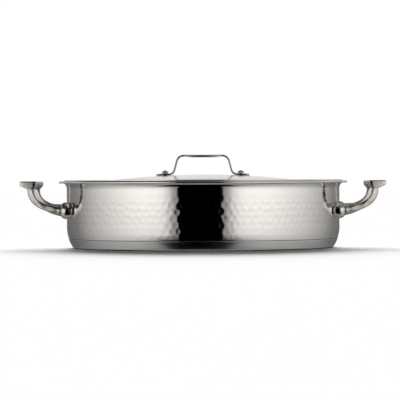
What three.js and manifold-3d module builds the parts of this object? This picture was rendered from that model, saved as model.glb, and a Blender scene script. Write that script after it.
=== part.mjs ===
// Low two-handled stockpot: a drawn steel body with a flared rim, a sandwich base,
// two cast loop handles riveted on through turned bosses, and a lift-off domed lid.
// Millimetres, +Z up. The origin is the middle of the flat base, and the handles lie along X.
import * as THREE from "three";
import { mergeVertices } from "three/addons/utils/BufferGeometryUtils.js";
import Module from "manifold-3d";

const wasm = await Module();
wasm.setup();

// Pot body
const wallRadius = 180; // outside of the upright wall
const wallThickness = 1.8;
const potHeight = 89; // table to the top of the rim
const cornerRadius = 48; // curve that draws the wall in towards the base
const cornerStart = 28; // height where that curve begins
const floorFillet = 10; // inside, between that curve and the floor
const flareRadius = 9; // underside of the flared rim
const flareAngle = THREE.MathUtils.degToRad(80); // how far the rim turns out from upright
const lipLength = 2.2; // straight edge beyond the flare

// Sandwich base
const capHeight = 12.3; // top edge of the base cap
const capThickness = 1;
const capProud = 0.3; // how far the cap stands out from the wall above it
const capEdgeRadius = 4.5; // outside, between the cap's side and its flat underside
const coreThickness = 6; // aluminium disc between cap and floor
const seamGap = 0.4; // open line between the cap's edge and the wall

// Side handles
const bossSpacing = 98; // between the two bosses of one handle
const bossDrop = 39; // from the rim down to the boss axis
const bossRadius = 11;
const bossStandOff = 4.7; // outer face of the boss beyond the wall radius
const bossShoulder = 6.6; // length of the rounded shoulder
const rootRadius = 7.4; // round end of an arm, against the boss
const neckStep = 0.3; // outer end of the boss, proud of the root
const rootShare = 0.24; // stretch of the arm that swells towards the root
const armThickness = 8.6; // seen from the side of the pot
const armWidth = 12; // along Y
const armReach = 39; // from the root out to the upright stretch
const armTurn = 0.7; // share of the reach after which the arm turns up
const armLift = 4; // how steeply the arm leaves the boss
const armRise = 12; // height over the root at which the arm has turned upright
const gripWidth = 22.8;
const gripThickness = 5.6;
const gripOverhang = 2.8; // middle of the grip, out from the middle of the arms
const gripDrop = 0.7; // flat top of the grip below the top of the rim
const gripCorner = 9; // bend from an arm into the grip
const armSquareness = 3.4; // how square the sections are: 2 is an ellipse
const gripSquareness = 4.5;

// Handle rivets
const shankRadius = 1.8;
const shankDepth = 8; // length inside the arm
const rivetHeadRadius = 8;
const rivetHeadHeight = 2.6;
const rivetHeadFlat = 0.75; // share of the head that is nearly flat

// Lid
const lidSheet = 1.2;
const domeRise = 8; // middle of the dome above the brim
const domeBlend = 12; // half length of the soft bend from dome to brim
const brimWidth = 42; // from the dome's foot to the locating bead
const beadWidth = 5;
const beadDepth = 4;
const beadSlope = 2; // how far each side of the bead leans
const mouthClearance = 1; // bead to the inside of the wall
const seatAngle = THREE.MathUtils.degToRad(58); // where on the flare the lid's edge rests

// Lid handle
const strapThickness = 2.2;
const strapGap = 0.1; // under each foot
const strapWidth = 15; // legs
const footWidth = 18;
const tipMargin = 7.6; // rivet head to the tip of the foot
const heelMargin = 1.5; // rivet head to the start of the bend
const strapGripWidth = 19;
const strapSquareness = 4;
const strapCrown = 1.7; // how far the edges of the grip turn down
const strapHeight = 26.1; // middle of the grip over the rivets' seat
const legLean = 6.4; // legs lean in over their height
const footBend = 5.6; // bend radius, foot to leg
const topBend = 8; // bend radius, leg to grip
const lidRivetSpacing = 100;
const lidRivetRadius = 1.8;
const lidRivetHeadRadius = 3.9;
const lidRivetHeadHeight = 3.7;
const lidRivetTailRadius = 4.6;
const lidRivetTailHeight = 1.6;
const lidRivetTailFlat = 0.8; // share of the tail that is flat

// Clearances, and how finely round things are divided
const clearance = 0.3; // between pieces that seat on each other
const boreClearance = 0.18; // shank to its hole, on the radius
const drillOverrun = 1; // how far a drill runs out past a face
const potSegments = 48;
const bossSegments = 20;
const rivetSegments = 12;
const handleSides = 14;
const strapSides = 12;

// Steel and aluminium finishes
const finish = (color, roughness) => () =>
  new THREE.MeshStandardMaterial({ color, roughness, metalness: 1 });
const polishedSteel = finish(0xc9c6c1, 0.14);
const satinSteel = finish(0xb4b2ae, 0.28);
const castSteel = finish(0xb9b4ab, 0.22);
const rivetSteel = finish(0xbdb8ae, 0.2);
const aluminium = finish(0xa9abad, 0.45);

// Points on an arc about (r, z), from one angle to another.
function arc(r, z, radius, from, to, steps) {
  return Array.from({ length: steps + 1 }, (_, i) => {
    const angle = THREE.MathUtils.lerp(from, to, i / steps);
    return new THREE.Vector2(r + radius * Math.cos(angle), z + radius * Math.sin(angle));
  });
}

const point = (r, z) => new THREE.Vector2(r, z);

// A solid of revolution about Z from a profile of (radius, height) that starts and ends on the axis.
function turned(profile, segments) {
  const outline = THREE.ShapeUtils.isClockWise(profile) ? [...profile].reverse() : profile;
  return new THREE.LatheGeometry(outline, segments).rotateX(Math.PI / 2);
}

// The same solid with its axis turned to point along +X, and moved to (x, y, z).
function turnedAlongX(profile, segments, x, y, z) {
  return turned(profile, segments).rotateY(Math.PI / 2).translate(x, y, z);
}

// A sheet's second face: each point of the line moved square to it, to its right-hand side.
function sheetUnderside(line, thickness) {
  return line.map((p, i) => {
    const before = line[Math.max(i - 1, 0)];
    const after = line[Math.min(i + 1, line.length - 1)];
    const into = p.clone().sub(before).normalize();
    const out = after.clone().sub(p).normalize();
    const along = into.clone().add(out).normalize();
    const ends = into.length() * out.length() === 0;
    const mitre = ends ? 1 : Math.sqrt((1 + into.dot(out)) / 2);
    return point(p.x + (along.y * thickness) / mitre, p.y - (along.x * thickness) / mitre);
  });
}

// Manifold solids from geometries, and back.
function solid(geometry) {
  const bare = geometry.clone();
  bare.deleteAttribute("normal");
  bare.deleteAttribute("uv");
  const merged = mergeVertices(bare, 1e-3);
  return new wasm.Manifold(
    new wasm.Mesh({
      numProp: 3,
      vertProperties: new Float32Array(merged.attributes.position.array),
      triVerts: new Uint32Array(merged.index.array),
    }),
  );
}

function geometryOf(made) {
  const mesh = made.getMesh();
  const geometry = new THREE.BufferGeometry();
  geometry.setAttribute("position", new THREE.BufferAttribute(new Float32Array(mesh.vertProperties), 3));
  geometry.setIndex(new THREE.BufferAttribute(new Uint32Array(mesh.triVerts), 1));
  geometry.computeVertexNormals();
  return geometry;
}

const cut = (geometry, ...tools) =>
  geometryOf(tools.reduce((made, tool) => made.subtract(solid(tool)), solid(geometry)));

// A closed skin over rings of points, with a flat cap on each end.
function loft(rings) {
  const sides = rings[0].length;
  const middle = (ring) => ring.reduce((sum, p) => sum.add(p), new THREE.Vector3()).divideScalar(sides);
  const points = [...rings.flat(), middle(rings[0]), middle(rings.at(-1))];
  const firstMiddle = points.length - 2;
  const lastMiddle = points.length - 1;
  const index = [];
  rings.forEach((_, i) => {
    for (let k = 0; k < sides; k++) {
      const next = (k + 1) % sides;
      const a = i * sides + k;
      const b = i * sides + next;
      if (i === 0) index.push(firstMiddle, b, a);
      if (i === rings.length - 1) index.push(lastMiddle, a, b);
      else index.push(a, b, b + sides, a, b + sides, a + sides);
    }
  });
  const geometry = new THREE.BufferGeometry().setFromPoints(points);
  geometry.setIndex(index);
  return geometry;
}

// One ring: a rounded section of the given half sizes. A high power makes it squarer,
// and a crown bends it down towards its two sides.
function ring(centre, thick, wide, halfThick, halfWide, power, sides, crown = 0) {
  const rounded = (c, size) => size * Math.sign(c) * Math.abs(c) ** (2 / power);
  return Array.from({ length: sides }, (_, k) => {
    const angle = (2 * Math.PI * (k + 0.5)) / sides;
    const u = rounded(Math.cos(angle), halfWide);
    const v = rounded(Math.sin(angle), halfThick) + crown * (0.5 - (u / halfWide) ** 2);
    return centre.clone().addScaledVector(wide, u).addScaledVector(thick, v);
  });
}

// Rings of one half of a symmetrical piece, and their mirror images beyond the mirror plane.
function mirrored(rings, axis) {
  const image = (p) => p.clone().setComponent(axis, -p.getComponent(axis));
  const beyond = rings.slice(0, -1).reverse();
  return [...rings, ...beyond.map((r) => r.map(image))];
}

// The curve that draws the wall in has its middle here. Cap, core and body all follow it.
const cornerR = wallRadius - cornerRadius;
const cornerZ = cornerStart;
const cornerAngle = (radius, z) => Math.asin((z - cornerZ) / radius);
const cornerArc = (radius, fromZ, toZ, steps) =>
  arc(cornerR, cornerZ, radius, cornerAngle(radius, fromZ), cornerAngle(radius, toZ), steps);

// A fillet inside that curve that runs out level at floorZ, from the floor up to the curve.
function cornerFillet(radius, floorZ, fillet, steps) {
  const z = floorZ + fillet;
  const reach = Math.sqrt((radius - fillet) ** 2 - (z - cornerZ) ** 2);
  const meets = Math.atan2(z - cornerZ, reach);
  return { meets, points: arc(cornerR + reach, z, fillet, -Math.PI / 2, meets, steps) };
}

// Base: cap, core and floor lie face to face, and share the corner curve with a clearance
const capRadius = cornerRadius + capProud;
const capInside = capRadius - capThickness;
const coreTop = capThickness + coreThickness;
const nestedRadius = capInside - clearance; // core's edge, and the body inside the cap
const floorTop = coreTop + wallThickness;

function baseCap() {
  const edge = cornerFillet(capRadius, 0, capEdgeRadius, 3);
  return turned(
    [
      point(0, 0),
      ...edge.points,
      ...arc(cornerR, cornerZ, capRadius, edge.meets, cornerAngle(capRadius, capHeight), 4).slice(1),
      ...cornerArc(capInside, capHeight, capThickness, 4),
      point(0, capThickness),
    ],
    potSegments,
  );
}

function baseCore() {
  return turned(
    [point(0, capThickness), ...cornerArc(nestedRadius, capThickness, coreTop, 3), point(0, coreTop)],
    potSegments,
  );
}

// Rim: the flare turns about (flareR, flareZ)
const flareR = wallRadius + flareRadius;
const flareZ =
  potHeight - (flareRadius + wallThickness) * Math.sin(flareAngle) - lipLength * Math.cos(flareAngle);
const mouthRadius = wallRadius - wallThickness;

function potBody() {
  const flare = (radius) => arc(flareR, flareZ, radius, Math.PI, Math.PI - flareAngle, 6);
  const lip = point(Math.sin(flareAngle), Math.cos(flareAngle)).multiplyScalar(lipLength);
  const under = flare(flareRadius);
  const over = flare(flareRadius + wallThickness);
  const lipMiddle = under.at(-1).clone().add(over.at(-1)).multiplyScalar(0.5).add(lip);
  const lipEdge = arc(lipMiddle.x, lipMiddle.y, wallThickness / 2, -flareAngle, Math.PI - flareAngle, 4);
  const inside = cornerRadius - wallThickness;
  const fillet = cornerFillet(inside, floorTop, floorFillet, 5);
  const shoulder = capHeight + seamGap;
  return turned(
    [
      point(0, coreTop),
      ...cornerArc(nestedRadius, coreTop, shoulder, 3),
      ...cornerArc(cornerRadius, shoulder, cornerStart, 5),
      ...under,
      ...lipEdge,
      ...over.reverse(),
      ...arc(cornerR, cornerZ, inside, 0, fillet.meets, 3),
      ...fillet.points.reverse().slice(1),
      point(0, floorTop),
    ],
    potSegments,
  );
}

// Handle places, given for the handle on +X. The other one is the same, turned half a turn.
const bossZ = potHeight - bossDrop;
const bossFace = wallRadius + bossStandOff;
const rootX = bossFace + clearance;
const bossSides = { front: -bossSpacing / 2, rear: bossSpacing / 2 };

// A plain rod along X, used as a drill.
const rodAlongX = (radius, fromX, toX, y) =>
  turnedAlongX(
    [point(0, 0), point(radius, 0), point(radius, toX - fromX), point(0, toX - fromX)],
    rivetSegments,
    fromX,
    y,
    bossZ,
  );
const shankHole = (fromX, toX, y) => rodAlongX(shankRadius + boreClearance, fromX, toX, y);

// The round stock of the pot, as a cutter for what seats on its wall from outside or inside.
const drum = (radius) =>
  turned([point(0, 0), point(radius, 0), point(radius, potHeight), point(0, potHeight)], potSegments);

// One loop: round at the root, rounded-square up the arm, wide and flat along the grip.
function handleCasting() {
  const armX = rootX + armReach;
  const gripZ = potHeight - gripDrop - gripThickness / 2;
  const y = bossSides.front;
  const arm = new THREE.CubicBezierCurve3(
    new THREE.Vector3(rootX, y, bossZ),
    new THREE.Vector3(rootX + armTurn * armReach, y, bossZ + armLift),
    new THREE.Vector3(armX, y, bossZ + armRise),
    new THREE.Vector3(armX, y, gripZ - gripCorner),
  );
  const bend = new THREE.QuadraticBezierCurve3(
    arm.v3,
    new THREE.Vector3(armX, y, gripZ),
    new THREE.Vector3(armX, y + gripCorner, gripZ),
  );
  const ease = (t) => t * t * (3 - 2 * t);
  const acrossArm = new THREE.Vector3(0, 1, 0);
  const acrossGrip = new THREE.Vector3(1, 0, 0);
  const section = (centre, along, thick, halfThick, halfWide, power) =>
    ring(centre, thick, thick.clone().cross(along), halfThick, halfWide, power, handleSides);

  const armRings = [0, 0.04, 0.08, 0.13, 0.2, 0.3, 0.4, 0.5, 0.6, 0.7, 0.85, 1].map((t) => {
    const narrowing = ease(Math.min(t / rootShare, 1));
    const along = t === 0 ? acrossGrip : arm.getTangent(t);
    return section(
      arm.getPoint(t),
      along,
      acrossArm.clone().cross(along),
      THREE.MathUtils.lerp(rootRadius, armThickness / 2, narrowing),
      THREE.MathUtils.lerp(rootRadius, armWidth / 2, narrowing),
      THREE.MathUtils.lerp(2, armSquareness, narrowing),
    );
  });
  const bendRings = Array.from({ length: 5 }, (_, i) => {
    const t = (i + 1) / 5;
    const widening = ease(t);
    const centre = bend.getPoint(t);
    centre.x += gripOverhang * widening;
    return section(
      centre,
      bend.getTangent(t),
      acrossGrip,
      THREE.MathUtils.lerp(armThickness, gripWidth, widening) / 2,
      THREE.MathUtils.lerp(armWidth, gripThickness, widening) / 2,
      THREE.MathUtils.lerp(armSquareness, gripSquareness, widening),
    );
  });
  const gripMiddle = new THREE.Vector3(armX + gripOverhang, 0, gripZ);
  const gripRing = section(
    gripMiddle,
    new THREE.Vector3(0, 1, 0),
    acrossGrip,
    gripWidth / 2,
    gripThickness / 2,
    gripSquareness,
  );
  const skin = loft(mirrored([...armRings, ...bendRings, gripRing], 1));
  const drills = Object.values(bossSides).map((side) =>
    shankHole(rootX - drillOverrun, rootX + shankDepth, side),
  );
  return cut(skin, ...drills);
}

// Turned boss between arm and wall, bored for the rivet and cut to the curve of the wall.
function boss(y) {
  const shoulder = new THREE.QuadraticBezierCurve(
    point(bossRadius, bossFace - bossShoulder),
    point(bossRadius, bossFace - bossShoulder / 3),
    point(rootRadius + neckStep, bossFace),
  );
  const blank = turnedAlongX(
    [point(0, 0), point(bossRadius, 0), ...shoulder.getPoints(5), point(0, bossFace)],
    bossSegments,
    0,
    y,
    bossZ,
  );
  return cut(blank, drum(wallRadius + clearance), shankHole(0, bossFace + drillOverrun, y));
}

// Rivet: a low domed head that fits the inside of the wall, and a shank that ends in the arm.
function handleRivet(y) {
  const wallAt = (reach) => Math.sqrt(mouthRadius ** 2 - reach ** 2);
  const seat = wallAt(Math.abs(y) - rivetHeadRadius);
  const top = wallAt(Math.abs(y) + rivetHeadRadius) - clearance - rivetHeadHeight;
  const domed = new THREE.QuadraticBezierCurve(
    point(0, 0),
    point(rivetHeadRadius * rivetHeadFlat, 0),
    point(rivetHeadRadius, rivetHeadHeight),
  );
  const head = turnedAlongX(
    [...domed.getPoints(5), point(rivetHeadRadius, seat - top), point(0, seat - top)],
    bossSegments,
    top,
    y,
    bossZ,
  );
  const shank = rodAlongX(shankRadius, top + rivetHeadHeight / 2, rootX + shankDepth - clearance, y);
  return geometryOf(solid(head).intersect(solid(drum(mouthRadius - clearance))).add(solid(shank)));
}

// Lid: its edge rests on the flare, and a bead below the brim keeps it central in the mouth
const seatRadius = flareRadius + wallThickness + clearance;
const lidRadius = flareR - seatRadius * Math.cos(seatAngle);
const brimTop = flareZ + seatRadius * Math.sin(seatAngle) + lidSheet;
const beadOuter = mouthRadius - mouthClearance - lidSheet;
const beadInner = beadOuter - beadWidth;
const domeFoot = beadInner - beadSlope - brimWidth;
const domeRadius = (domeFoot ** 2 + domeRise ** 2) / (2 * domeRise);
const domeZ = (r) => brimTop + domeRise - domeRadius + Math.sqrt(domeRadius ** 2 - r ** 2);
const domeTilt = (r) => Math.asin(r / domeRadius);
const lidRivetSides = { left: -1, right: 1 };

// Places on the dome under one lid rivet, in a frame whose Z stands square to the dome there.
function onDome(side) {
  const frame = new THREE.Group();
  const r = lidRivetSpacing / 2;
  frame.position.set(side * r, 0, domeZ(r));
  frame.rotation.y = side * domeTilt(r);
  frame.updateMatrix();
  return frame;
}

// The hole for one lid rivet, through the sheet and the foot above it.
function lidRivetHole(side) {
  const radius = lidRivetRadius + boreClearance;
  const low = -2 * lidSheet;
  const high = strapGap + 2 * strapThickness;
  const drill = [point(0, low), point(radius, low), point(radius, high), point(0, high)];
  return turned(drill, rivetSegments).applyMatrix4(onDome(side).matrix);
}

function lidShell() {
  const bendStart = domeFoot - domeBlend;
  const bend = new THREE.QuadraticBezierCurve(
    point(bendStart, domeZ(bendStart)),
    point(domeFoot, brimTop),
    point(domeFoot + domeBlend, brimTop),
  );
  const domeSteps = 6;
  const dome = Array.from({ length: domeSteps }, (_, i) => {
    const r = (bendStart * i) / domeSteps;
    return point(r, domeZ(r));
  });
  const top = [
    ...dome,
    ...bend.getPoints(4),
    point(beadInner - beadSlope, brimTop),
    point(beadInner, brimTop - beadDepth),
    point(beadOuter, brimTop - beadDepth),
    point(beadOuter + beadSlope, brimTop),
    point(lidRadius, brimTop),
  ];
  const under = sheetUnderside(top, lidSheet);
  under[0].x = 0;
  const sheet = turned([...top, ...under.reverse()], potSegments);
  return cut(sheet, ...Object.values(lidRivetSides).map(lidRivetHole));
}

// Strap handle: flat feet on the dome, leaning legs and a grip whose edges turn down.
function lidHandle() {
  const place = onDome(1).matrix;
  const half = strapThickness / 2;
  const onFoot = (x) => new THREE.Vector3(x, 0, strapGap + half).applyMatrix4(place);
  const flat = (p) => point(p.x, p.z);
  const tip = flat(onFoot(lidRivetHeadRadius + tipMargin));
  const heel = flat(onFoot(-lidRivetHeadRadius - heelMargin - footBend));
  const gripZ = domeZ(lidRivetSpacing / 2) + strapHeight;
  const knee = point(heel.x - legLean, gripZ);
  const corner = (from, at, to, radius) => {
    const back = at.clone().add(from.clone().sub(at).setLength(radius));
    const on = at.clone().add(to.clone().sub(at).setLength(radius));
    return new THREE.QuadraticBezierCurve(back, at, on);
  };
  const centre = point(0, gripZ);
  const low = corner(tip, heel, knee, footBend);
  const high = corner(heel, knee, centre, topBend);
  const tipRound = footWidth / 2;
  const stations = [];
  const station = (curve, t, width, crown = 0) =>
    stations.push({ at: curve.getPoint(t), along: curve.getTangent(t), width, crown });

  const foot = new THREE.LineCurve(tip, low.v0);
  const footRun = foot.getLength();
  [0.02, 0.12, 0.3, 0.6, 1].forEach((share) =>
    station(foot, (share * tipRound) / footRun, footWidth * Math.sqrt(1 - (1 - share) ** 2)),
  );
  const spread = (curve, shares, widthFrom, widthTo, crownTo = 0) =>
    shares.forEach((t) => station(curve, t, THREE.MathUtils.lerp(widthFrom, widthTo, t), crownTo * t));
  spread(low, [0, 0.25, 0.5, 0.75, 1], footWidth, strapWidth);
  spread(new THREE.LineCurve(low.v2, high.v0), [0.5], strapWidth, strapWidth);
  spread(high, [0, 0.25, 0.5, 0.75, 1], strapWidth, strapWidth);
  spread(new THREE.LineCurve(high.v2, centre), [0.35, 0.7, 1], strapWidth, strapGripWidth, strapCrown);

  const wide = new THREE.Vector3(0, -1, 0);
  const rings = stations.map(({ at, along, width, crown }) =>
    ring(
      new THREE.Vector3(at.x, 0, at.y),
      new THREE.Vector3(along.y, 0, -along.x),
      wide,
      half,
      width / 2,
      strapSquareness,
      strapSides,
      crown,
    ),
  );
  return cut(loft(mirrored(rings, 0)), ...Object.values(lidRivetSides).map(lidRivetHole));
}

// Lid rivet, upright: a round head over the foot, a shank, and a tail closed under the lid.
function lidRivet() {
  const seat = strapGap + strapThickness + clearance;
  const below = -lidSheet - clearance;
  const head = new THREE.EllipseCurve(0, seat, lidRivetHeadRadius, lidRivetHeadHeight, 0, Math.PI / 2);
  return turned(
    [
      point(0, below - lidRivetTailHeight),
      point(lidRivetTailRadius * lidRivetTailFlat, below - lidRivetTailHeight),
      point(lidRivetTailRadius, below - lidRivetTailHeight / 2),
      point(lidRivetTailRadius, below),
      point(lidRivetRadius, below),
      point(lidRivetRadius, seat),
      ...head.getPoints(5),
    ],
    rivetSegments,
  );
}

// Assembly
const stockpot = new THREE.Group();

function add(parent, name, geometry, material) {
  const mesh = new THREE.Mesh(geometry, material());
  mesh.name = name;
  parent.add(mesh);
}

const wallDrills = Object.values(bossSides).flatMap((y) => [
  shankHole(0, bossFace, y),
  shankHole(-bossFace, 0, y),
]);
add(stockpot, "pot_body", cut(potBody(), ...wallDrills), polishedSteel);
add(stockpot, "base_core", baseCore(), aluminium);
add(stockpot, "base_cap", baseCap(), satinSteel);

for (const [name, turn] of Object.entries({ right: 0, left: Math.PI })) {
  const handle = new THREE.Group();
  handle.rotation.z = turn;
  stockpot.add(handle);
  add(handle, `${name}_handle`, handleCasting(), castSteel);
  for (const [place, y] of Object.entries(bossSides)) {
    const facing = turn === 0 ? place : { front: "rear", rear: "front" }[place];
    add(handle, `${name}_${facing}_boss`, boss(y), polishedSteel);
    add(handle, `${name}_${facing}_rivet`, handleRivet(y), rivetSteel);
  }
}

const lid = new THREE.Group();
stockpot.add(lid);
add(lid, "lid_shell", lidShell(), polishedSteel);
add(lid, "lid_handle", lidHandle(), satinSteel);
for (const [name, side] of Object.entries(lidRivetSides)) {
  const seat = onDome(side);
  lid.add(seat);
  add(seat, `lid_rivet_${name}`, lidRivet(), rivetSteel);
}

export default stockpot;
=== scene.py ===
import math

import bpy
import numpy as np
from mathutils import Matrix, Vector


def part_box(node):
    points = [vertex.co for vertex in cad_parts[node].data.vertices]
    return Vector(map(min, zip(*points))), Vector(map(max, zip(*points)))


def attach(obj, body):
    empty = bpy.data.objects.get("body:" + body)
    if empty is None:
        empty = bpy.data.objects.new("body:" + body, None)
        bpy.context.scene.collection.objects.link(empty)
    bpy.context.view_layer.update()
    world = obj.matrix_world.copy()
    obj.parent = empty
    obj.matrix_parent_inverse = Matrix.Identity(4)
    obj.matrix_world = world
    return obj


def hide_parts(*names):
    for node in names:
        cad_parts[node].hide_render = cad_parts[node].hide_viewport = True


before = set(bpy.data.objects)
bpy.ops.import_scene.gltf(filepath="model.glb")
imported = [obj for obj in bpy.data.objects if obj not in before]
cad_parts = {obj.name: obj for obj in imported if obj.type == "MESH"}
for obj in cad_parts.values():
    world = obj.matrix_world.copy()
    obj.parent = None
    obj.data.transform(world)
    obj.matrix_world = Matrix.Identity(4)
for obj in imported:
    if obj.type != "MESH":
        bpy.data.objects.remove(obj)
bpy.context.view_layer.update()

# Base cap: a shallow dish of stainless sheet pressed over the bottom of the pot. Its side carries on
# the curve of the wall, and its rolled edge shows as a fine line. It is turned to a satin grain.
wall_radius = 0.180
corner_radius = 0.048
corner_height = 0.028
corner_reach = wall_radius - corner_radius
cap_thickness = 0.001
cap_proud = 0.0003
cap_radius = corner_radius + cap_proud
cap_fillet = 0.0045
cap_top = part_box("base_cap")[1].z
flat_ring = 0.9
round_segments = 240


def arc(r, z, radius, start, stop, steps):
    """Points (radius, height) along an arc about (r, z), from one angle to another."""
    turn = np.linspace(start, stop, steps + 1)
    return np.column_stack([r + radius * np.cos(turn), z + radius * np.sin(turn)])


def bend(start, corner, end, steps):
    """Points along a curve that leaves start towards corner and arrives at end from it."""
    t = np.linspace(0, 1, steps + 1)[:, None]
    return (1 - t) ** 2 * np.array(start) + 2 * t * (1 - t) * np.array(corner) + t**2 * np.array(end)


def corner_angle(radius, z):
    """Angle on the curve that draws the wall in, at a height."""
    return math.asin((z - corner_height) / radius)


def corner_fillet(radius, floor, fillet, steps):
    """A fillet inside that curve which runs out level with a floor, and the angle where they meet."""
    z = floor + fillet
    reach = math.sqrt((radius - fillet) ** 2 - (z - corner_height) ** 2)
    meets = math.atan2(z - corner_height, reach)
    return arc(corner_reach + reach, z, fillet, -math.pi / 2, meets, steps), meets


def turned_ring(r, z, segments):
    """A level ring of points about the Z axis, or the one point of a pole."""
    if r < 1e-9:
        return np.array([[0.0, 0.0, z]])
    turn = 2 * np.pi * np.arange(segments) / segments
    return np.column_stack([r * np.cos(turn), r * np.sin(turn), np.full(segments, z)])


def stitch(a, n, b, m):
    """Faces between a ring of n points from index a and a ring of m points from index b."""
    faces = []
    if n == m:
        return [(a + k, a + (k + 1) % n, b + (k + 1) % n, b + k) for k in range(n)]
    ratio = max(n, m) // min(n, m)
    for k in range(max(n, m)):
        near = (k // ratio + (k % ratio >= ratio // 2)) % min(n, m)
        step = (k + 1) % max(n, m)
        faces.append((a + near, b + step, b + k) if n < m else (a + k, a + step, b + near))
    if min(n, m) > 1:
        for k in range(min(n, m)):
            middle = k * ratio + ratio // 2
            step = (k + 1) % min(n, m)
            faces.append((a + k, a + step, b + middle) if n < m else (a + middle, b + step, b + k))
    return faces


def put(name, data):
    """A new object in the scene that holds a mesh, a lamp or a camera."""
    thing = bpy.data.objects.new(name, data)
    bpy.context.scene.collection.objects.link(thing)
    return thing


def skin(name, rings):
    """A smooth closed mesh over rings of points that turn anticlockwise about their direction of travel."""
    starts = np.cumsum([0] + [len(ring) for ring in rings])
    faces = []
    for i in range(len(rings) - 1):
        faces += stitch(int(starts[i]), len(rings[i]), int(starts[i + 1]), len(rings[i + 1]))
    mesh = bpy.data.meshes.new(name)
    mesh.from_pydata(np.vstack(rings).tolist(), [], faces)
    mesh.shade_smooth()
    return put(name, mesh)


def turned(name, profile, segments):
    """A solid of revolution. The profile runs from the axis outwards, up the outside, and back in."""
    return skin(name, [turned_ring(r, z, segments) for r, z in profile])


class Wire:
    """A value in a node tree. Arithmetic on it adds Math nodes."""

    def __init__(self, nodes, socket):
        self.nodes = nodes
        self.socket = socket

    def math(self, operation, *values):
        return self.nodes.add("ShaderNodeMath", {"operation": operation}, dict(enumerate(values)))

    def __add__(self, other):
        return self.math("ADD", self, other)

    def __sub__(self, other):
        return self.math("SUBTRACT", self, other)

    def __rsub__(self, other):
        return self.math("SUBTRACT", other, self)

    def __mul__(self, other):
        return self.math("MULTIPLY", self, other)

    def __truediv__(self, other):
        return self.math("DIVIDE", self, other)

    def __pow__(self, other):
        return self.math("POWER", self, other)

    __radd__ = __add__
    __rmul__ = __mul__


class Nodes:
    """A node tree that is being wired."""

    def __init__(self, tree):
        self.tree = tree
        tree.nodes.clear()

    def add(self, kind, settings=None, sockets=None, output=0):
        """One node: its settings first, then a value or a wire for each named socket. Returns an output."""
        node = self.tree.nodes.new(kind)
        for name, value in (settings or {}).items():
            if name == "stops":
                self.set_stops(node.color_ramp, value)
            else:
                setattr(node, name, value)
        for name, value in (sockets or {}).items():
            if isinstance(value, Wire):
                self.tree.links.new(value.socket, node.inputs[name])
            else:
                node.inputs[name].default_value = value
        return Wire(self, node.outputs[output]) if node.outputs else node

    @staticmethod
    def set_stops(ramp, stops):
        while len(ramp.elements) < len(stops):
            ramp.elements.new(1.0)
        for element, (position, level) in zip(ramp.elements, stops):
            element.position = position
            element.color = (level, level, level, 1.0)


def split(nodes, place):
    """The three parts of a vector."""
    xyz = nodes.add("ShaderNodeSeparateXYZ", sockets={"Vector": place})
    return [Wire(nodes, output) for output in xyz.socket.node.outputs]


def turning_lines(nodes, place, pitch):
    """Fine lines round the pot's axis, as a tool leaves them on a turned or spun face."""
    drift = 14.0
    x, y, z = split(nodes, place)
    radius = (x * x + y * y) ** 0.5
    across = nodes.add("ShaderNodeCombineXYZ", sockets={"X": radius / pitch, "Y": z / pitch, "Z": x * drift})
    return nodes.add("ShaderNodeTexNoise", sockets={"Vector": across, "Scale": 1.0, "Detail": 2.0})


def brushed_lines(nodes, place, scale):
    """Fine lines along one axis of a piece, as a belt leaves them. The scale is small along the lines."""
    stretched = nodes.add("ShaderNodeMapping", sockets={"Vector": place, "Scale": scale})
    return nodes.add("ShaderNodeTexNoise", sockets={"Vector": stretched, "Scale": 1.0, "Detail": 3.0})


def new_material(name):
    """A material with nothing in its node tree yet, and that tree."""
    material = bpy.data.materials.new(name)
    material.use_nodes = True
    return material, Nodes(material.node_tree)


def bare_metal(name, colour, gloss, grain, grain_gloss, grain_depth, smear_scale, smear_gloss):
    """Bare metal: the lines of its polish, cloudy smears in its gloss, and a tone that drifts a little."""
    brightest, dullest = 1.06, 0.94
    smear_part, line_part = 0.6, 0.4
    material, nodes = new_material(name)
    place = nodes.add("ShaderNodeTexCoord", output="Object")
    lines = grain(nodes, place)
    smears = nodes.add("ShaderNodeTexNoise", sockets={"Vector": place, "Scale": smear_scale, "Detail": 5.0})
    worn = [min(1.0, brightest * level) for level in colour]
    tarnished = [dullest * level for level in colour]
    tone = nodes.add(
        "ShaderNodeMix",
        {"data_type": "RGBA"},
        {"Factor": smears * smear_part + lines * line_part, 6: (*tarnished, 1.0), 7: (*worn, 1.0)},
        output=2,
    )
    roughness = gloss + (lines - 0.5) * grain_gloss + (smears - 0.5) * smear_gloss
    relief = nodes.add("ShaderNodeBump", sockets={"Height": lines, "Strength": 1.0, "Distance": grain_depth})
    metal = nodes.add(
        "ShaderNodeBsdfPrincipled",
        sockets={"Base Color": tone, "Metallic": 1.0, "Roughness": roughness, "Normal": relief},
    )
    nodes.add("ShaderNodeOutputMaterial", sockets={"Surface": metal})
    return material


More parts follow.
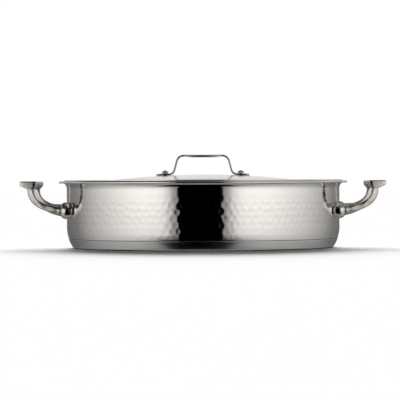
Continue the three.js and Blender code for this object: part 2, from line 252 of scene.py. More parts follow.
cap_corner, cap_meets = corner_fillet(cap_radius, 0.0, cap_fillet, 16)
cap_edge = cap_thickness / 2
cap_edge_angle = corner_angle(cap_radius - cap_edge, cap_top - cap_edge)
cap_edge_r = corner_reach + (cap_radius - cap_edge) * math.cos(cap_edge_angle)
cap_inside = cap_radius - cap_thickness
cap_floor_angle = corner_angle(cap_inside, cap_thickness)
cap_profile = np.vstack([
    [(0.0, 0.0), (flat_ring * cap_corner[0, 0], 0.0)],
    cap_corner,
    arc(corner_reach, corner_height, cap_radius, cap_meets, cap_edge_angle, 14)[1:],
    arc(cap_edge_r, cap_top - cap_edge, cap_edge, cap_edge_angle, cap_edge_angle + math.pi, 10)[1:],
    arc(corner_reach, corner_height, cap_inside, cap_edge_angle, cap_floor_angle, 12)[1:],
    [(0.0, cap_thickness)],
])
base_cap = turned("pressed_base_cap", cap_profile, 2 * round_segments)
base_steel = bare_metal(
    "turned_base_steel",
    colour=(0.69, 0.675, 0.65),
    gloss=0.17,
    grain=lambda nodes, place: turning_lines(nodes, place, 0.00035),
    grain_gloss=0.10,
    grain_depth=0.000004,
    smear_scale=22.0,
    smear_gloss=0.08,
)
base_cap.data.materials.append(base_steel)
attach(base_cap, "pot")
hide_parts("base_cap")

# Core: a plain disc of aluminium bonded between the cap and the floor to spread the heat.
# Only its edge could ever be seen, so the CAD solid stays and gets a rolled, oxidised surface.
core_aluminium = bare_metal(
    "rolled_core_aluminium",
    colour=(0.76, 0.77, 0.78),
    gloss=0.42,
    grain=lambda nodes, place: brushed_lines(nodes, place, (30.0, 1800.0, 1800.0)),
    grain_gloss=0.16,
    grain_depth=0.00001,
    smear_scale=40.0,
    smear_gloss=0.12,
)
base_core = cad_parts["base_core"]
base_core.data.materials.clear()
base_core.data.materials.append(core_aluminium)

# Body: drawn in one from stainless sheet, floor and wall together, with the rim rolled outwards.
# Rows of shallow marks are hammered into the mirror-polished wall; inside it is plain.
wall_thickness = 0.0018
pot_height = 0.089
floor_fillet = 0.010
flare_radius = 0.009
flare_angle = math.radians(80)
lip_length = 0.00219
seam_gap = 0.0004
nest_gap = 0.0003
shoulder_round = 0.0003
core_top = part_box("base_core")[1].z
floor_top = core_top + wall_thickness
nested_radius = cap_inside - nest_gap
shoulder = cap_top + seam_gap
mark_rows = (0.0655, 0.0573, 0.0491, 0.0409, 0.0327, 0.0245, 0.0163)
marks_in_row = 118
mark_depth = 0.000085
mark_reach = 0.0040
mark_softening = 0
marks_low = (0.0130, 0.0185)
marks_high = (0.0560, 0.0745)
hammered_top = 0.0748
hammered_steps = 40
wall_segments = 4 * round_segments
rim_overhang = 0.00133
rim_drop = 0.0007
rim_depth = 0.0029
rim_round = 0.0022
rim_edge = 0.0003
rim_meets = math.radians(112)
under_turn = math.radians(48)
under_run = 0.002

flare_r = wall_radius + flare_radius
flare_z = (
    pot_height
    - (flare_radius + wall_thickness) * math.sin(flare_angle)
    - lip_length * math.cos(flare_angle)
)
rim_r = flare_r + rim_overhang
rim_top = pot_height - rim_drop
rim_low = rim_top - rim_depth
under = np.array([
    flare_r - flare_radius * math.cos(under_turn),
    flare_z + flare_radius * math.sin(under_turn),
])
under_corner = under + (rim_low - under[1]) * np.array([math.tan(under_turn), 1.0])
inner_radius = corner_radius - wall_thickness
floor_corner, floor_meets = corner_fillet(inner_radius, floor_top, floor_fillet, 10)
shoulder_angle = corner_angle(corner_radius, shoulder + shoulder_round)
shoulder_r = corner_reach + (corner_radius - shoulder_round) * math.cos(shoulder_angle)

hidden_foot = np.vstack([
    [(0.0, core_top)],
    arc(corner_reach, corner_height, nested_radius, corner_angle(nested_radius, core_top),
        corner_angle(nested_radius, shoulder), 4),
])
hammered_wall = np.vstack([
    arc(shoulder_r, shoulder + shoulder_round, shoulder_round, -math.pi / 2, shoulder_angle, 4),
    arc(corner_reach, corner_height, corner_radius, shoulder_angle, 0.0, 14)[1:],
    np.column_stack([
        np.full(hammered_steps + 1, wall_radius),
        np.linspace(corner_height, hammered_top, hammered_steps + 1),
    ])[1:],
])
rolled_rim = np.vstack([
    arc(flare_r, flare_z, flare_radius, math.pi, math.pi - under_turn, 14)[:-1],
    bend(under, under_corner, (under_corner[0] + under_run, rim_low), 6),
    arc(rim_r - rim_edge, rim_low + rim_edge, rim_edge, -math.pi / 2, 0.0, 4),
    arc(rim_r - rim_round, rim_top - rim_round, rim_round, 0.0, math.pi / 2, 12),
    arc(flare_r, flare_z, flare_radius + wall_thickness, rim_meets, math.pi, 16),
])
inside = np.vstack([
    np.column_stack([np.full(6, wall_radius - wall_thickness), np.linspace(flare_z, corner_height, 7)[1:]]),
    arc(corner_reach, corner_height, inner_radius, 0.0, floor_meets, 10)[1:],
    floor_corner[::-1][1:],
    [(flat_ring * floor_corner[0, 0], floor_top), (0.0, floor_top)],
])
body_rings = []
marked = []
for profile, segments in (
    (hidden_foot, round_segments),
    (hammered_wall, wall_segments),
    (rolled_rim, 2 * round_segments),
    (inside, round_segments),
):
    for r, z in profile:
        body_rings.append(turned_ring(r, z, segments))
        fade = np.clip((z - marks_low[0]) / (marks_low[1] - marks_low[0]), 0, 1)
        fade *= np.clip((marks_high[1] - z) / (marks_high[1] - marks_high[0]), 0, 1)
        marked += [fade if segments == wall_segments else 0.0] * len(body_rings[-1])
body = skin("hammered_body", body_rings)
body.data.attributes.new("marked", "FLOAT", "POINT").data.foreach_set("value", marked)


def mark_places(name, rows, seed):
    """Loose points where the hammer fell: (radius, height, count) rows, each shifted and unsteady."""
    stray, stray_up = 0.22, 0.0012
    hand = np.random.default_rng(seed)
    places = []
    for number, (r, z, count) in enumerate(rows):
        turn = 2 * np.pi * (np.arange(count) + 0.5 * (number % 2)) / count
        turn += hand.uniform(-stray, stray, count) * 2 * np.pi / count
        lift = hand.uniform(-stray_up, stray_up, count)
        places.append(np.column_stack([r * np.cos(turn), r * np.sin(turn), z + lift]))
    mesh = bpy.data.meshes.new(name)
    mesh.from_pydata(np.vstack(places).tolist(), [], [])
    return put(name, mesh)


def open_tree(name, result, **inputs):
    """A Geometry Nodes tree with named inputs, its nodes, and a wire from each input."""
    tree = bpy.data.node_groups.new(name, "GeometryNodeTree")
    for label, kind in inputs.items():
        tree.interface.new_socket(label, in_out="INPUT", socket_type=f"NodeSocket{kind}")
    tree.interface.new_socket(result, in_out="OUTPUT", socket_type="NodeSocketGeometry")
    nodes = Nodes(tree)
    return tree, nodes, {label: nodes.add("NodeGroupInput", output=label) for label in inputs}


def close_tree(nodes, result, made, steel):
    """Ends a tree: what it made becomes plain geometry and takes its steel."""
    whole = nodes.add("GeometryNodeRealizeInstances", sockets={"Geometry": made})
    steeled = nodes.add("GeometryNodeSetMaterial", sockets={"Geometry": whole, "Material": steel})
    nodes.add("NodeGroupOutput", sockets={result: steeled})


hammering, nodes, given = open_tree(
    "hammering", "Hammered",
    Sheet="Geometry", Marks="Object", Depth="Float", Reach="Float", Softening="Int", Steel="Material",
)
falls = nodes.add("GeometryNodeObjectInfo", sockets={"Object": given["Marks"]}, output="Geometry")
distance = nodes.add("GeometryNodeProximity", {"target_element": "POINTS"}, {0: falls}, output="Distance")
share = distance / given["Reach"]
share = share.math("MINIMUM", share, 1.0)
dished = nodes.add(
    "GeometryNodeBlurAttribute",
    {"data_type": "FLOAT"},
    {"Value": (share * share - 1.0) * given["Depth"], "Iterations": given["Softening"]},
)
weight = nodes.add("GeometryNodeInputNamedAttribute", {"data_type": "FLOAT"}, {"Name": "marked"})
sunk = nodes.add(
    "ShaderNodeVectorMath",
    {"operation": "SCALE"},
    {0: nodes.add("GeometryNodeInputNormal"), "Scale": dished * weight},
)
moved = nodes.add("GeometryNodeSetPosition", sockets={"Geometry": given["Sheet"], "Offset": sunk})
close_tree(nodes, "Hammered", moved, given["Steel"])


def settle(piece, tree, inputs):
    """Runs a Geometry Nodes tree over a piece and keeps the result as its plain mesh."""
    modifier = piece.modifiers.new(tree.name, "NODES")
    modifier.node_group = tree
    for item in tree.interface.items_tree:
        if item.in_out == "INPUT" and item.name in inputs:
            modifier[item.identifier] = inputs[item.name]
    result = piece.evaluated_get(bpy.context.evaluated_depsgraph_get())
    mesh = bpy.data.meshes.new_from_object(result)
    piece.modifiers.remove(modifier)
    piece.data = mesh


def wall_at(z):
    """Outside radius of the wall at a height."""
    return corner_reach + corner_radius * math.cos(corner_angle(corner_radius, min(z, corner_height)))


wall_steel = bare_metal(
    "hammered_wall_steel",
    colour=(0.825, 0.80, 0.765),
    gloss=0.055,
    grain=lambda nodes, place: brushed_lines(nodes, place, (60.0, 60.0, 1500.0)),
    grain_gloss=0.02,
    grain_depth=0.0000008,
    smear_scale=16.0,
    smear_gloss=0.05,
)
wall_marks = mark_places("wall_marks", [(wall_at(z), z, marks_in_row) for z in mark_rows], seed=4)
settle(body, hammering, {
    "Marks": wall_marks, "Depth": mark_depth, "Reach": mark_reach, "Softening": mark_softening,
    "Steel": wall_steel,
})
bpy.data.objects.remove(wall_marks)
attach(body, "pot")
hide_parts("pot_body")

# Bosses: four short turned barrels with a rounded shoulder, two for each handle. Each is cut to the
# curve of the wall and holds an arm off it. They are polished bright, with faint turning lines.
boss_side = 0.049
boss_height = 0.050
boss_radius = 0.011
boss_face = 0.1847
boss_shoulder = 0.0066
boss_fullness = boss_shoulder / 3
boss_end_radius = 0.0077
boss_end_round = 0.0004
seat_gap = 0.0003
boss_segments = 64


def ring_along_x(x, y, r, segments):
    """A ring about a line along +X at the bosses' height. x is a place, or a function of Y."""
    turn = 2 * np.pi * np.arange(segments) / segments
    across = y + r * np.cos(turn)
    along = x(across) if callable(x) else np.full(segments, x)
    return np.column_stack([along, across, boss_height + r * np.sin(turn)])


def pole_along_x(x, y):
    return np.array([[x, y, boss_height]])


def drum(radius):
    """Where a round wall of that radius stands, as a function of Y."""
    return lambda y: np.sqrt(radius**2 - y**2)


def on_side(rings, side):
    """Rings of the +X side, turned half a turn about the pot's axis for the other side."""
    return rings if side == "right" else [ring * np.array([-1.0, -1.0, 1.0]) for ring in rings]


boss_steel = bare_metal(
    "turned_boss_steel",
    colour=(0.76, 0.745, 0.72),
    gloss=0.10,
    grain=lambda nodes, place: brushed_lines(nodes, place, (2600.0, 90.0, 90.0)),
    grain_gloss=0.05,
    grain_depth=0.000002,
    smear_scale=60.0,
    smear_gloss=0.06,
)
handle_ends = [
    (side, place, boss_side if (side == "right") == (place == "rear") else -boss_side)
    for side in ("right", "left")
    for place in ("front", "rear")
]
barrel = bend(
    (boss_radius, boss_face - boss_shoulder),
    (boss_radius, boss_face - boss_fullness),
    (boss_end_radius, boss_face - boss_end_round),
    16,
)
seat = drum(wall_radius + seat_gap)
for side, place, y in handle_ends:
    rings = [
        pole_along_x(float(seat(y)), y),
        ring_along_x(seat, y, boss_radius - boss_end_round, boss_segments),
        ring_along_x(lambda across: seat(across) + boss_end_round, y, boss_radius, boss_segments),
    ]
    rings += [ring_along_x(x, y, r, boss_segments) for r, x in barrel]
    rings += [
        ring_along_x(boss_face, y, boss_end_radius - boss_end_round, boss_segments),
        pole_along_x(boss_face, y),
    ]
    piece = skin(f"turned_boss_{side}_{place}", on_side(rings, side))
    piece.data.materials.append(boss_steel)
    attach(piece, "pot")
    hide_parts(f"{side}_{place}_boss")

# Handles: two steel castings, each a loop of two arms and a flat grip. An arm leaves its boss round,
# turns up square with rounded edges, and spreads into the grip. Tumbled to a warm satin.
root_x = boss_face + seat_gap
root_radius = 0.0074
root_end_share = 0.955
root_chamfer = 0.00032
collar_step = 0.0007
collar_share = 0.05
root_share = 0.30
arm_draft = ((0.36, 0.52, 0.85, 1.0), (0.0, 0.26, 0.20, 0.03))
arm_reach = 0.039
arm_turn = 0.7
arm_lift = 0.004
arm_rise = 0.012
arm_thickness = 0.0086
arm_width = 0.012
round_section = 2.0
arm_squareness = 4.5
grip_width = 0.0228
grip_thickness = 0.0056
grip_overhang = 0.0028
grip_squareness = 8.0
squared_by = math.radians(20)
grip_fillet = 0.005
grip_drop = 0.0007
grip_z = pot_height - grip_drop - grip_thickness / 2
end_slant = ((-0.0086, -0.0043, 0.0043, 0.0142), (0.0008, 0.0, 0.0, 0.0002))
corner_squareness = 20
handle_sides = 56
arm_steps = 44
corner_steps = 60
grip_steps = 8


def ease(t):
    return t * t * (3 - 2 * t)


def mix(a, b, t):
    return a + (b - a) * t


def rounded_square(power, sides):
    """Points round a square from -1 to 1 with rounded corners, sharper for a higher power."""
    turn = 2 * np.pi * (np.arange(sides) + 0.5) / sides
    return [np.sign(wave) * np.abs(wave) ** (2 / power) for wave in (np.cos(turn), np.sin(turn))]


def section(centre, along, thick, half_thick, half_wide, power, sides, crown=0.0, draft=0.0):
    """A ring across a bar. Crown draws its edges down, and draft narrows it on the thick side."""
    along = along / np.linalg.norm(along)
    thick = thick / np.linalg.norm(thick)
    wide = np.cross(thick, along)
    u, v = rounded_square(power, sides)
    u = half_wide * u * (1 - draft * v)
    v = half_thick * v + crown * (0.5 - (u / half_wide) ** 2)
    return centre + u[:, None] * wide + v[:, None] * thick


def mirrored(rings, axis):
    """Rings of one half of a piece, then their mirror images beyond the plane across that axis."""
    image = np.ones(3)
    image[axis] = -1.0
    return rings + [ring * image for ring in rings[-2::-1]]


arm_x = root_x + arm_reach
hinge_y = grip_fillet + arm_width / 2 - boss_side
hinge_z = grip_z - grip_thickness / 2 - grip_fillet
along_x = np.array([1.0, 0.0, 0.0])
along_y = np.array([0.0, 1.0, 0.0])
arm_ends = np.array([
    (root_x, -boss_side, boss_height),
    (root_x + arm_turn * arm_reach, -boss_side, boss_height + arm_lift),
    (arm_x, -boss_side, boss_height + arm_rise),
    (arm_x, -boss_side, hinge_z),
])
handle_rings = []
for t in np.linspace(0, 1, arm_steps + 1):
    centre = np.array([(1 - t) ** 3, 3 * t * (1 - t) ** 2, 3 * t**2 * (1 - t), t**3]) @ arm_ends
    slope = np.array([(1 - t) ** 2, 2 * t * (1 - t), t**2]) @ np.diff(arm_ends, axis=0)
    along = along_x if t == 0 else slope
    collar = root_radius - collar_step * min(t / collar_share, 1)
    narrowing = ease(np.clip((t - collar_share) / (root_share - collar_share), 0, 1))
    handle_rings.append(section(
        centre,
        along,
        np.cross(along_y, along),
        mix(collar, arm_thickness / 2, narrowing),
        mix(collar, arm_width / 2, narrowing),
        mix(round_section, arm_squareness, narrowing),
        handle_sides,
        draft=float(np.interp(t, *arm_draft)),
    ))
for lean in np.linspace(0, math.pi / 2, corner_steps + 1)[1:]:
    out = math.cos(lean) / (hinge_y + boss_side + arm_width / 2)
    rise = math.sin(lean) / (grip_fillet + grip_thickness)
    outside = (out**corner_squareness + rise**corner_squareness) ** (-1 / corner_squareness)
    squared = min(lean / squared_by, 1)
    u, v = rounded_square(mix(arm_squareness, grip_squareness, squared), handle_sides)
    away = mix(grip_fillet, outside, (u + 1) / 2)
    spread = np.clip(away * math.sin(lean) / grip_fillet, 0, 1)
    x = grip_overhang * spread + v * mix(arm_thickness, grip_width, spread) / 2
    y = hinge_y + (u * np.interp(x, *end_slant) - away) * math.cos(lean)
    handle_rings.append(np.column_stack([arm_x + x, y, hinge_z + away * math.sin(lean)]))
for y in np.linspace(hinge_y, 0.0, grip_steps + 1)[1:]:
    handle_rings.append(section(
        np.array([arm_x + grip_overhang, y, grip_z]),
        along_y,
        along_x,
        grip_width / 2,
        grip_thickness / 2,
        grip_squareness,
        handle_sides,
    ))
root_centre = arm_ends[0]
root_end = root_centre + (handle_rings[0] - root_centre) * root_end_share
handle_rings[0] = handle_rings[0] + np.array([root_chamfer, 0.0, 0.0])
handle_rings = mirrored([root_centre[None, :], root_end] + handle_rings, 1)
cast_steel = bare_metal(
    "tumbled_cast_steel",
    colour=(0.63, 0.59, 0.54),
    gloss=0.17,
    grain=lambda nodes, place: brushed_lines(nodes, place, (420.0, 420.0, 420.0)),
    grain_gloss=0.08,
    grain_depth=0.00003,
    smear_scale=70.0,
    smear_gloss=0.10,
)
for side in ("right", "left"):
    piece = skin(f"cast_handle_{side}", on_side(handle_rings, side))
    piece.data.materials.append(cast_steel)
    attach(piece, "pot")
    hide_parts(f"{side}_handle")

# Handle rivets: stainless, one through the wall and each boss into its arm, closed hot from inside. The
# low, softly polished head lies against the inside of the wall and follows its curve.
rivet_head_radius = 0.008
rivet_head_height = 0.0026
rivet_head_flat = 0.75
shank_radius = 0.0018
shank_hold = 0.008
shank_end = root_x + shank_hold - seat_gap
mouth_radius = wall_radius - wall_thickness
rivet_steel = bare_metal(
    "polished_rivet_steel",
    colour=(0.83, 0.80, 0.75),
    gloss=0.50,
    grain=lambda nodes, place: brushed_lines(nodes, place, (900.0, 900.0, 900.0)),
    grain_gloss=0.06,
    grain_depth=0.000003,
    smear_scale=120.0,
    smear_gloss=0.08,
)
rivet_dome = bend(
    (0.0, 0.0), (rivet_head_radius * rivet_head_flat, 0.0), (rivet_head_radius, rivet_head_height), 12
)[1:]
seat = drum(mouth_radius - seat_gap)
for side, place, y in handle_ends:
    top = float(seat(abs(y) + rivet_head_radius)) - rivet_head_height
    rings = [pole_along_x(top, y)]
    rings += [ring_along_x(top + x, y, r, boss_segments) for r, x in rivet_dome]
    rings += [
        ring_along_x(seat, y, rivet_head_radius, boss_segments),
        ring_along_x(seat, y, shank_radius, boss_segments),
        ring_along_x(shank_end, y, shank_radius, boss_segments),
        pole_along_x(shank_end, y),
    ]
    piece = skin(f"closed_rivet_{side}_{place}", on_side(rings, side))
    piece.data.materials.append(rivet_steel)
    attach(piece, "pot")
    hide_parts(f"{side}_{place}_rivet")

# Lid: pressed from thinner stainless sheet, a shallow dome with a level brim, hemmed at its edge, that
# rests on the flared rim. A bead under the brim keeps it central. The dome is softly hammered.
lid_sheet = 0.0012
dome_rise = 0.008
dome_blend = 0.012
brim_width = 0.042
bead_width = 0.005
bead_depth = 0.004
bead_slope = 0.002
bead_round = 0.0009
bead_play = 0.001
brim_run = 0.004
hem_rise = 0.0008
hem_round = 0.0003
hem_reach = 0.003
seat_angle = math.radians(58)
seat_radius = flare_radius + wall_thickness + seat_gap
lid_radius = flare_r - seat_radius * math.cos(seat_angle)
hem_foot = lid_radius - hem_reach
brim_top = flare_z + seat_radius * math.sin(seat_angle) + lid_sheet
bead_outer = mouth_radius - bead_play - lid_sheet
bead_inner = bead_outer - bead_width
dome_foot = bead_inner - bead_slope - brim_width
dome_radius = (dome_foot**2 + dome_rise**2) / (2 * dome_rise)
dome_mark_pitch = 0.0095
dome_mark_depth = 0.00026
dome_mark_reach = 0.0058
dome_mark_softening = 2
dome_marked_to = 0.112
dome_mark_fade = 0.010
dome_step = 0.0015
under_every = 4
under_most = 240


def dome_z(r):
    return brim_top + dome_rise - dome_radius + np.sqrt(dome_radius**2 - r**2)


def rounded(corners, radius, steps):
    """A line through corners with each inner corner bent round."""
    line = [corners[0]]
    for before, at, after in zip(corners, corners[1:], corners[2:]):
        back = at + radius * (before - at) / np.linalg.norm(before - at)
        on = at + radius * (after - at) / np.linalg.norm(after - at)
        line += list(bend(back, at, on, steps))
    return np.array(line + [corners[-1]])


def other_face(line, thickness):
    """The far face of a sheet: a line moved square to itself, to its right-hand side."""
    along = np.gradient(line, axis=0)
    along /= np.linalg.norm(along, axis=1)[:, None]
    return line + thickness * np.column_stack([along[:, 1], -along[:, 0]])


bend_start = dome_foot - dome_blend
dome_r = np.arange(dome_step, bend_start, dome_step)
dome_line = np.column_stack([dome_r, dome_z(dome_r)])
bend_end = dome_foot + dome_blend
foot_line = bend((bend_start, dome_z(bend_start)), (dome_foot, brim_top), (bend_end, brim_top), 14)
bead_line = rounded(np.array([
    (bend_end + brim_run, brim_top),
    (bead_inner - bead_slope, brim_top),
    (bead_inner, brim_top - bead_depth),
    (bead_outer, brim_top - bead_depth),
    (bead_outer + bead_slope, brim_top),
    (hem_foot, brim_top),
]), bead_round, 6)
upper = np.vstack([dome_line, foot_line, bead_line])
lower = other_face(upper, lid_sheet)
lower[0, 0] = upper[0, 0]
hem_r = lid_radius - hem_round
hem_top = brim_top + hem_rise
lid_edge = np.vstack([
    arc(hem_r, brim_top - lid_sheet + hem_round, hem_round, -math.pi / 2, 0.0, 5),
    arc(hem_r, hem_top - hem_round, hem_round, 0.0, math.pi / 2, 5),
    bend((hem_r - hem_rise, hem_top), (hem_r - hem_reach / 2, brim_top), (hem_foot, brim_top), 6)[:-1],
])


def lid_segments(r):
    """Fewer points round the middle of the dome, so that its faces stay about as wide as they are long."""
    for reach, segments in ((0.010, 60), (0.024, 120), (0.060, 240)):
        if r < reach:
            return segments
    return 480


lid_profile = np.vstack([
    [(0.0, brim_top + dome_rise - lid_sheet)],
    lower[::under_every],
    lower[-1:],
    lid_edge,
    upper[::-1],
    [(0.0, brim_top + dome_rise)],
])
lid_top_from = len(lower[::under_every]) + 2
lid_rings = [
    turned_ring(r, z, lid_segments(r) if number >= lid_top_from else min(lid_segments(r), under_most))
    for number, (r, z) in enumerate(lid_profile)
]
marked = []
for number, (r, z) in enumerate(lid_profile):
    fade = np.clip((dome_marked_to - r) / dome_mark_fade, 0, 1) if number >= lid_top_from else 0.0
    marked += [fade] * len(lid_rings[number])
lid = skin("pressed_lid", lid_rings)
lid.data.attributes.new("marked", "FLOAT", "POINT").data.foreach_set("value", marked)
dome_rows = [
    (r, float(dome_z(r)), max(1, round(2 * math.pi * r / dome_mark_pitch)))
    for r in np.arange(0.0, dome_marked_to, dome_mark_pitch)
]
lid_steel = bare_metal(
    "spun_lid_steel",
    colour=(0.79, 0.78, 0.76),
    gloss=0.12,
    grain=lambda nodes, place: turning_lines(nodes, place, 0.0006),
    grain_gloss=0.04,
    grain_depth=0.000002,
    smear_scale=24.0,
    smear_gloss=0.06,
)
dome_marks = mark_places("dome_marks", dome_rows, seed=9)
settle(lid, hammering, {
    "Marks": dome_marks, "Depth": dome_mark_depth, "Reach": dome_mark_reach,
    "Softening": dome_mark_softening, "Steel": lid_steel,
})
bpy.data.objects.remove(dome_marks)
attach(lid, "lid")
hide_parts("lid_shell")

# Lid handle: one strip of stainless, pressed to shape: two flat feet with rounded corners, two leaning
# legs, and a wider, thicker grip whose edges turn down. Polished along its length, riveted at its feet.
rivet_spacing = 0.100
strap_thickness = 0.0026
strap_gap = 0.0001
strap_width = 0.015
foot_width = 0.018
tip_reach = 0.0115
tip_round = 0.004
heel_reach = 0.0110
strap_grip_width = 0.022
strap_grip_thickness = 0.0034
strap_squareness = 4.0
strap_crown = 0.0006
rolled_from = 0.4
strap_height = 0.02625
leg_lean = 0.0064
foot_bend = 0.0056
top_bend = 0.008
foot_bend_steps = 12
tip_leans = np.radians([2, 8, 16, 26, 38, 50, 64, 78, 90])
strap_sides = 48

rivet_r = rivet_spacing / 2
rivet_tilt = math.asin(rivet_r / dome_radius)
foot_along = np.array([math.cos(rivet_tilt), -math.sin(rivet_tilt)])
foot_up = np.array([math.sin(rivet_tilt), math.cos(rivet_tilt)])
foot_middle = np.array([rivet_r, float(dome_z(rivet_r))]) + (strap_gap + strap_thickness / 2) * foot_up
strap_top = float(dome_z(rivet_r)) + strap_height
tip = foot_middle + tip_reach * foot_along
heel = foot_middle - heel_reach * foot_along
knee = np.array([heel[0] - leg_lean, strap_top])
crest = np.array([0.0, strap_top])


def toward(start, end, length):
    return start + length * (end - start) / np.linalg.norm(end - start)


low_bend = bend(toward(heel, tip, foot_bend), heel, toward(heel, knee, foot_bend), foot_bend_steps)
high_bend = bend(toward(knee, heel, top_bend), knee, toward(knee, crest, top_bend), 14)
stations = []
for lean in tip_leans:
    reach = tip_round * (1 - math.cos(lean))
    stations.append((toward(tip, heel, reach), foot_width - 2 * tip_round * (1 - math.sin(lean)), 0.0))
for number, place in enumerate(low_bend):
    stations.append((place, mix(foot_width, strap_width, number / foot_bend_steps), 0.0))
for share in (0.35, 0.7):
    stations.append((mix(low_bend[-1], high_bend[0], share), strap_width, 0.0))
for place in high_bend:
    stations.append((place, strap_width, 0.0))
for share in np.linspace(0, 1, 17)[1:]:
    width = mix(strap_width, strap_grip_width, math.sin(share * math.pi / 2))
    stations.append((mix(high_bend[-1], crest, share), width, ease(min(share / rolled_from, 1))))
middle_line = np.array([place for place, _, _ in stations])
strap_rings = []
for (place, width, rolled), (dx, dz) in zip(stations, np.gradient(middle_line, axis=0)):
    dz = 0.0 if place is stations[-1][0] else dz
    thickness = mix(strap_thickness, strap_grip_thickness, rolled)
    sink = (thickness - strap_thickness + strap_crown * rolled) / 2
    strap_rings.append(section(
        np.array([place[0], 0.0, place[1] - sink]),
        np.array([dx, 0.0, dz]),
        np.array([dz, 0.0, -dx]),
        thickness / 2,
        width / 2,
        strap_squareness,
        strap_sides,
        strap_crown * rolled,
    ))
strap_rings = mirrored([strap_rings[0].mean(axis=0)[None, :]] + strap_rings, 0)
strap = skin("pressed_strap", strap_rings)
strap_steel = bare_metal(
    "polished_strap_steel",
    colour=(0.78, 0.755, 0.715),
    gloss=0.18,
    grain=lambda nodes, place: brushed_lines(nodes, place, (50.0, 2200.0, 900.0)),
    grain_gloss=0.08,
    grain_depth=0.000003,
    smear_scale=60.0,
    smear_gloss=0.08,
)
strap.data.materials.append(strap_steel)
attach(strap, "lid")
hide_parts("lid_handle")

# Lid rivets: a round head on each foot of the strap, a shank through the sheet, and a flat tail
# closed under the lid. The same softly polished steel as the handle rivets.
lid_rivet_radius = 0.0018
lid_rivet_head = (0.0043, 0.0037)
lid_rivet_tail = (0.0046, 0.0016)
tail_flat = 0.7 * lid_rivet_tail[0]
head_foot = 0.96 * lid_rivet_head[0]
head_edge = 0.0002
head_seat = strap_gap + strap_thickness + seat_gap
tail_seat = -lid_sheet - seat_gap
tail_low = tail_seat - lid_rivet_tail[1]
head_turn = np.linspace(0, math.pi / 2, 15)
rivet_profile = np.vstack([
    [(0.0, tail_low)],
    bend((tail_flat, tail_low), (lid_rivet_tail[0], tail_low), (lid_rivet_tail[0], tail_seat), 6),
    [(lid_rivet_radius, tail_seat), (lid_rivet_radius, head_seat)],
    [(head_foot, head_seat)],
    np.column_stack([
        lid_rivet_head[0] * np.cos(head_turn),
        head_seat + head_edge + (lid_rivet_head[1] - head_edge) * np.sin(head_turn),
    ])[:-1],
    [(0.0, head_seat + lid_rivet_head[1])],
])
lid_rivets = turned("closed_lid_rivets", rivet_profile, 48)

riveting, nodes, given = open_tree(
    "riveting", "Rivets", Rivet="Geometry", Spacing="Float", Height="Float", Tilt="Float", Steel="Material"
)
first = nodes.add("ShaderNodeCombineXYZ", sockets={"X": given["Spacing"] * -0.5, "Z": given["Height"]})
step = nodes.add("ShaderNodeCombineXYZ", sockets={"X": given["Spacing"]})
holes = nodes.add("GeometryNodeMeshLine", sockets={"Count": 2, "Start Location": first, "Offset": step})
number = nodes.add("GeometryNodeInputIndex")
lean = nodes.add("ShaderNodeCombineXYZ", sockets={"Y": (number * 2.0 - 1.0) * given["Tilt"]})
turn = nodes.add("FunctionNodeEulerToRotation", sockets={"Euler": lean})
placed = nodes.add(
    "GeometryNodeInstanceOnPoints", sockets={"Points": holes, "Instance": given["Rivet"], "Rotation": turn}
)
close_tree(nodes, "Rivets", placed, given["Steel"])

settle(lid_rivets, riveting, {
    "Spacing": rivet_spacing, "Height": float(dome_z(rivet_r)), "Tilt": rivet_tilt, "Steel": rivet_steel,
})
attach(lid_rivets, "lid")
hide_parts("lid_rivet_left", "lid_rivet_right")

# Studio: a white floor and white surroundings, with soft lamps behind the pot that light the floor. The
# polished steel needs something to mirror, so glowing grey flats stand all round it, with a dark gap in
# front, seen only in the metal. Below the horizon the flats carry a painted reflection of a polished table
# and, straight down, a painted shaded floor. A black disc, seen there too, stands for the shade under the
# pot.
room_light = 0.075
world = bpy.data.worlds.new("white_room")
bpy.context.scene.world = world
world.use_nodes = True
nodes = Nodes(world.node_tree)
shown = sum(
    (nodes.add("ShaderNodeLightPath", output=ray) for ray in ("Is Glossy Ray", "Is Transmission Ray")),
    nodes.add("ShaderNodeLightPath", output="Is Camera Ray"),
)
white = nodes.add(
    "ShaderNodeBackground",
    sockets={"Color": (1.0, 1.0, 1.0, 1.0), "Strength": room_light + (1.0 - room_light) * shown},
)
nodes.add("ShaderNodeOutputWorld", sockets={"Surface": white})
world.cycles.sampling_method = "NONE"

for name, turn, rise, spread, share in (
    ("left_back_light", -10, 26, 30, 0.14),
    ("right_back_light", 10, 26, 30, 0.14),
    ("low_back_light", 0, 22, 30, 0.20),
    ("middle_back_light", 0, 32, 30, 0.31),
    ("high_back_light", 0, 55, 30, 0.13),
):
    lamp = put(name, bpy.data.lights.new(name, "SUN"))
    lamp.data.angle = math.radians(spread)
    lamp.data.energy = share * math.pi / math.sin(math.radians(rise))
    lamp.rotation_euler = (math.radians(90 - rise), 0.0, math.pi - math.radians(turn))
    lamp.visible_glossy = False

floor_size = 30.0
floor_z = -0.0002
floor_sheet = bpy.data.meshes.new("floor")
floor_sheet.from_pydata(
    [(x, y, floor_z) for x, y in ((-1, -1), (1, -1), (1, 1), (-1, 1))], [], [(0, 1, 2, 3)]
)
floor_sheet.transform(Matrix.Diagonal((floor_size, floor_size, 1.0, 1.0)))
floor = put("floor", floor_sheet)
floor_paint, nodes = new_material("floor_paint")
matt = nodes.add("ShaderNodeBsdfDiffuse", sockets={"Color": (1.0, 1.0, 1.0, 1.0)})
nodes.add("ShaderNodeOutputMaterial", sockets={"Surface": matt})
floor_sheet.materials.append(floor_paint)
floor.visible_glossy = False

flats_radius = 0.8
flats_strength = 1.3
gap_turn = -1.8
gap_edge = 0.0925
gap_turn_below = 2.5
right_wider = 0.11
shade_radius = 0.1715


def seen_in_metal_only(stage_piece):
    """Hides a piece of the studio from all but reflections."""
    stage_piece.visible_camera = False
    stage_piece.visible_diffuse = False
    stage_piece.visible_shadow = False
    stage_piece.visible_transmission = False


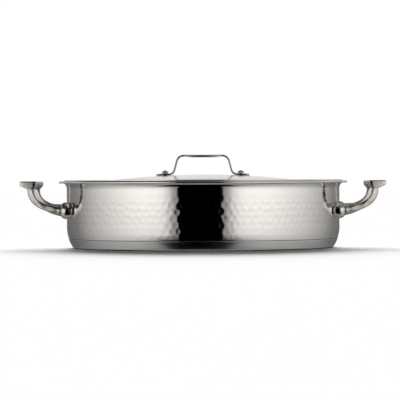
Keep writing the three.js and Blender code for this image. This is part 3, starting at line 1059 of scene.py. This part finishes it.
flats = skin("grey_flats", [
    turned_ring(flats_radius * math.cos(rise), flats_radius * math.sin(rise), 96)
    for rise in np.linspace(-math.pi / 2, math.pi / 2, 37)
])
flats_paint, nodes = new_material("grey_flats")
flats_paint.cycles.emission_sampling = "NONE"
across, ahead, up = split(nodes, nodes.add("ShaderNodeTexCoord", output="Object"))
rise_share = up / (2 * flats_radius) + 0.5
side_share = across / (2 * flats_radius) + 0.5


def level(share, *stops):
    """A brightness that follows a share of the way round or up, through (share, brightness) stops."""
    return nodes.add("ShaderNodeValToRGB", {"stops": stops}, {"Fac": share})


turned_by = across.math("ARCTAN2", across, ahead * -1.0) / math.pi - gap_turn / 180
right_share = turned_by.math("MAXIMUM", turned_by - gap_edge, 0.0)
either_side = turned_by.math("ABSOLUTE", turned_by)
round_share = either_side - right_share * right_wider
upright = level(
    round_share, (0.0, 0.0), (gap_edge, 0.0), (0.0942, 0.25), (0.1045, 0.32), (0.113, 0.39), (0.121, 0.53),
    (0.129, 0.65), (0.137, 0.74), (0.153, 0.87), (0.18, 0.96), (0.23, 1.0), (0.295, 0.94), (0.375, 0.79),
    (0.485, 0.56), (0.65, 0.22), (0.79, 0.15), (0.88, 0.22), (1.0, 0.25),
)
# Painted reflection: below the horizon the flats glow with the studio as a polished table would mirror it,
# its gap turned a little.
turned_below = turned_by + gap_turn_below / 180
mirrored_share = turned_below.math("ABSOLUTE", turned_below) - right_share * right_wider
painted_floor_reflection = level(
    mirrored_share, (0.0, 0.0), (0.12, 0.0), (0.155, 0.06), (0.18, 0.42), (0.21, 0.72), (0.30, 0.95),
    (0.46, 0.81), (0.65, 0.50), (0.79, 0.40), (1.0, 0.50),
)
lowness = level(rise_share, (0.26, 1.0), (0.38, 0.0))
fall_off = level(
    rise_share, (0.02, 0.0), (0.06, 0.17), (0.125, 0.27), (0.169, 0.39), (0.294, 0.446), (0.317, 0.518),
    (0.36, 0.607), (0.404, 0.687), (0.47, 0.71), (0.51, 0.735), (0.53, 0.82), (0.55, 0.92), (0.565, 0.92),
    (0.58, 0.88), (0.60, 0.86), (0.64, 0.62), (0.68, 0.30), (0.74, 0.0),
)
# Painted shade: a dim glow straight down stands for the shaded floor under the pot, which the metal never
# sees itself.
painted_shaded_floor = level(rise_share, (0.03, 0.28), (0.10, 0.0))
ceiling = level(rise_share, (0.62, 0.0), (0.76, 1.0)) * level(side_share, (0.55, 0.04), (0.66, 0.24))
behind = level(
    rise_share, (0.556, 0.0), (0.575, 0.55), (0.62, 0.60), (0.68, 0.68), (0.72, 0.67), (0.80, 0.0)
) * level(either_side, (0.50, 0.0), (0.60, 0.45), (0.88, 0.45), (0.95, 1.0))
overhead = level(rise_share, (0.93, 0.0), (0.98, 0.18))
around = (upright + (painted_floor_reflection - upright) * lowness) * fall_off * flats_strength
glow = nodes.add("ShaderNodeEmission", sockets={"Color": around + behind + painted_shaded_floor + ceiling + overhead})
nodes.add("ShaderNodeOutputMaterial", sockets={"Surface": glow})
flats.data.materials.append(flats_paint)
seen_in_metal_only(flats)

contact = turned("contact_shade", [(0.0, floor_z), (shade_radius, floor_z)], 96)
contact_shade, nodes = new_material("contact_shade")
dark = nodes.add("ShaderNodeBsdfDiffuse", sockets={"Color": (0.0, 0.0, 0.0, 1.0)})
nodes.add("ShaderNodeOutputMaterial", sockets={"Surface": dark})
contact.data.materials.append(contact_shade)
seen_in_metal_only(contact)

camera_place = (0.021, -3.0, 0.0835)
camera_turn = math.radians(0.479)
camera_tilt = math.radians(90.0 - 0.394)
camera_roll = math.radians(-0.229)
camera = put("camera", bpy.data.cameras.new("camera"))
camera.data.sensor_width = 36.0
camera.data.lens = 204.12
camera.data.clip_end = 100.0
camera.matrix_world = (
    Matrix.Translation(camera_place)
    @ Matrix.Rotation(camera_turn, 4, "Z")
    @ Matrix.Rotation(camera_tilt, 4, "X")
    @ Matrix.Rotation(camera_roll, 4, "Z")
)
bpy.context.scene.camera = camera
bpy.context.scene.view_settings.view_transform = "Standard"
